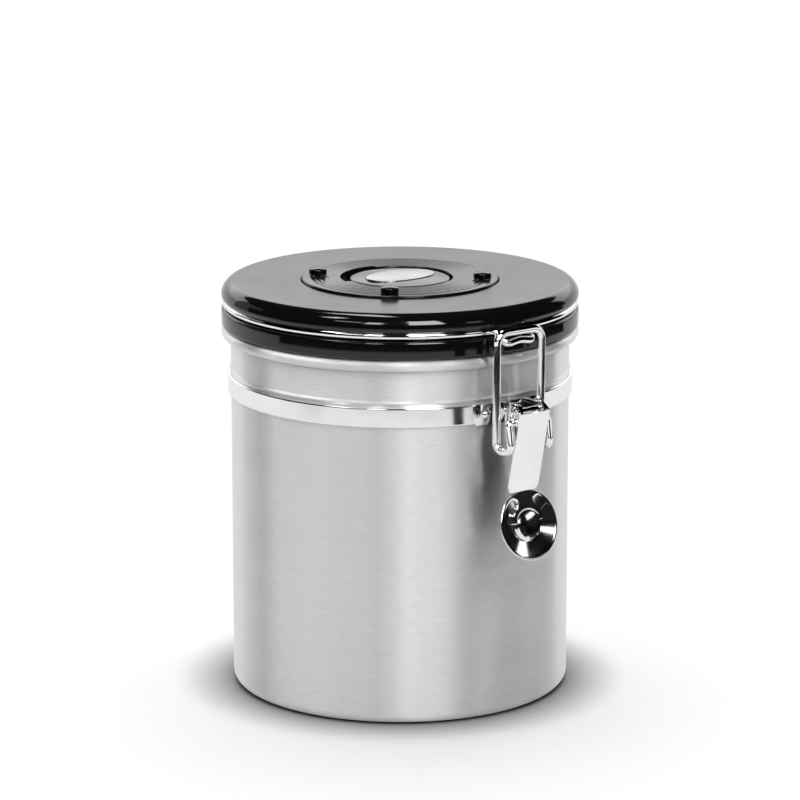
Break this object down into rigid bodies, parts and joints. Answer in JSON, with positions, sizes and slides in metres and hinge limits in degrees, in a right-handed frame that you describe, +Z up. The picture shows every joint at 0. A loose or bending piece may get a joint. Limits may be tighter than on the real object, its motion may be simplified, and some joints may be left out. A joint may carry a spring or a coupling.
{
  "type": "coffee canister with valve",
  "caption": "Brushed-steel coffee canister with a hinged black lid, wire bail clamp and a one-way freshness valve under a twist-off vent cover.",
  "frame": {"origin": "centre of the flat bottom, on the can's axis", "axes": "+Z up along the can's axis, -Y towards the clamp, +Y towards the lid hinge, +X along both pins"},
  "size_m": [0.1326, 0.1531, 0.1563],
  "materials": {
    "steel_brushed": "fine horizontal brushed grain",
    "steel_polished": "polished",
    "lid_black": "high gloss black",
    "cover_black": "gloss black with fine turned ribs",
    "cap_black": "gloss black",
    "liner_black": "satin moulded",
    "silicone_dark": "matte silicone",
    "silicone_flap": "matte translucent silicone",
    "valve_plastic": "moulded natural white",
    "filter_pad": "pressed fibre",
    "plate_silver": "bright satin, bare"
  },
  "bodies": {
    "canister": {"can_body": "steel_brushed", "band_strap": "steel_polished", "latch_bracket": "steel_polished", "bracket_rivets": "steel_polished", "lever_pin": "steel_polished", "hinge_bracket": "steel_polished", "hinge_rivets": "steel_polished"},
    "lid": {"lid_shell": "lid_black", "lid_liner": "liner_black", "lid_gasket": "silicone_dark", "lid_wire": "steel_polished", "valve_body": "valve_plastic", "valve_o_ring": "silicone_dark", "valve_cage": "valve_plastic", "valve_filter": "filter_pad", "filter_retainer": "valve_plastic"},
    "vent_cover": {"vent_ring": "cover_black", "grip_studs": "lid_black", "centre_cap": "cap_black", "oval_plate": "plate_silver"},
    "valve_disc": {"valve_flap": "silicone_flap"},
    "lever": {"latch_lever": "steel_polished"},
    "bail": {"bail_wire": "steel_polished"}
  },
  "joints": [
    {"name": "lid_open", "type": "hinge", "parent": "canister", "child": "lid", "pos_m": [0, 0.071, 0.1451], "axis": [-1, 0, 0], "range_deg": [0, 105]},
    {"name": "lever_open", "type": "hinge", "parent": "canister", "child": "lever", "pos_m": [0, -0.075, 0.1173], "axis": [-1, 0, 0], "range_deg": [0, 130]},
    {"name": "bail_swing", "type": "hinge", "parent": "lever", "child": "bail", "pos_m": [0, -0.0746, 0.1132], "axis": [-1, 0, 0], "range_deg": [-160, 0]},
    {"name": "vent_cover_turn", "type": "hinge", "parent": "lid", "child": "vent_cover", "pos_m": [0, 0, 0.15], "axis": [0, 0, 1], "range_deg": [0, 40]},
    {"name": "valve_lift", "type": "slide", "parent": "lid", "child": "valve_disc", "axis": [0, 0, 1], "range_m": [0, 0.00035], "stiffness_N_per_m": 5}
  ],
  "couplings": [
    {"joint": "bail_swing", "follows": "lever_open", "ratio": -1.23}
  ]
}
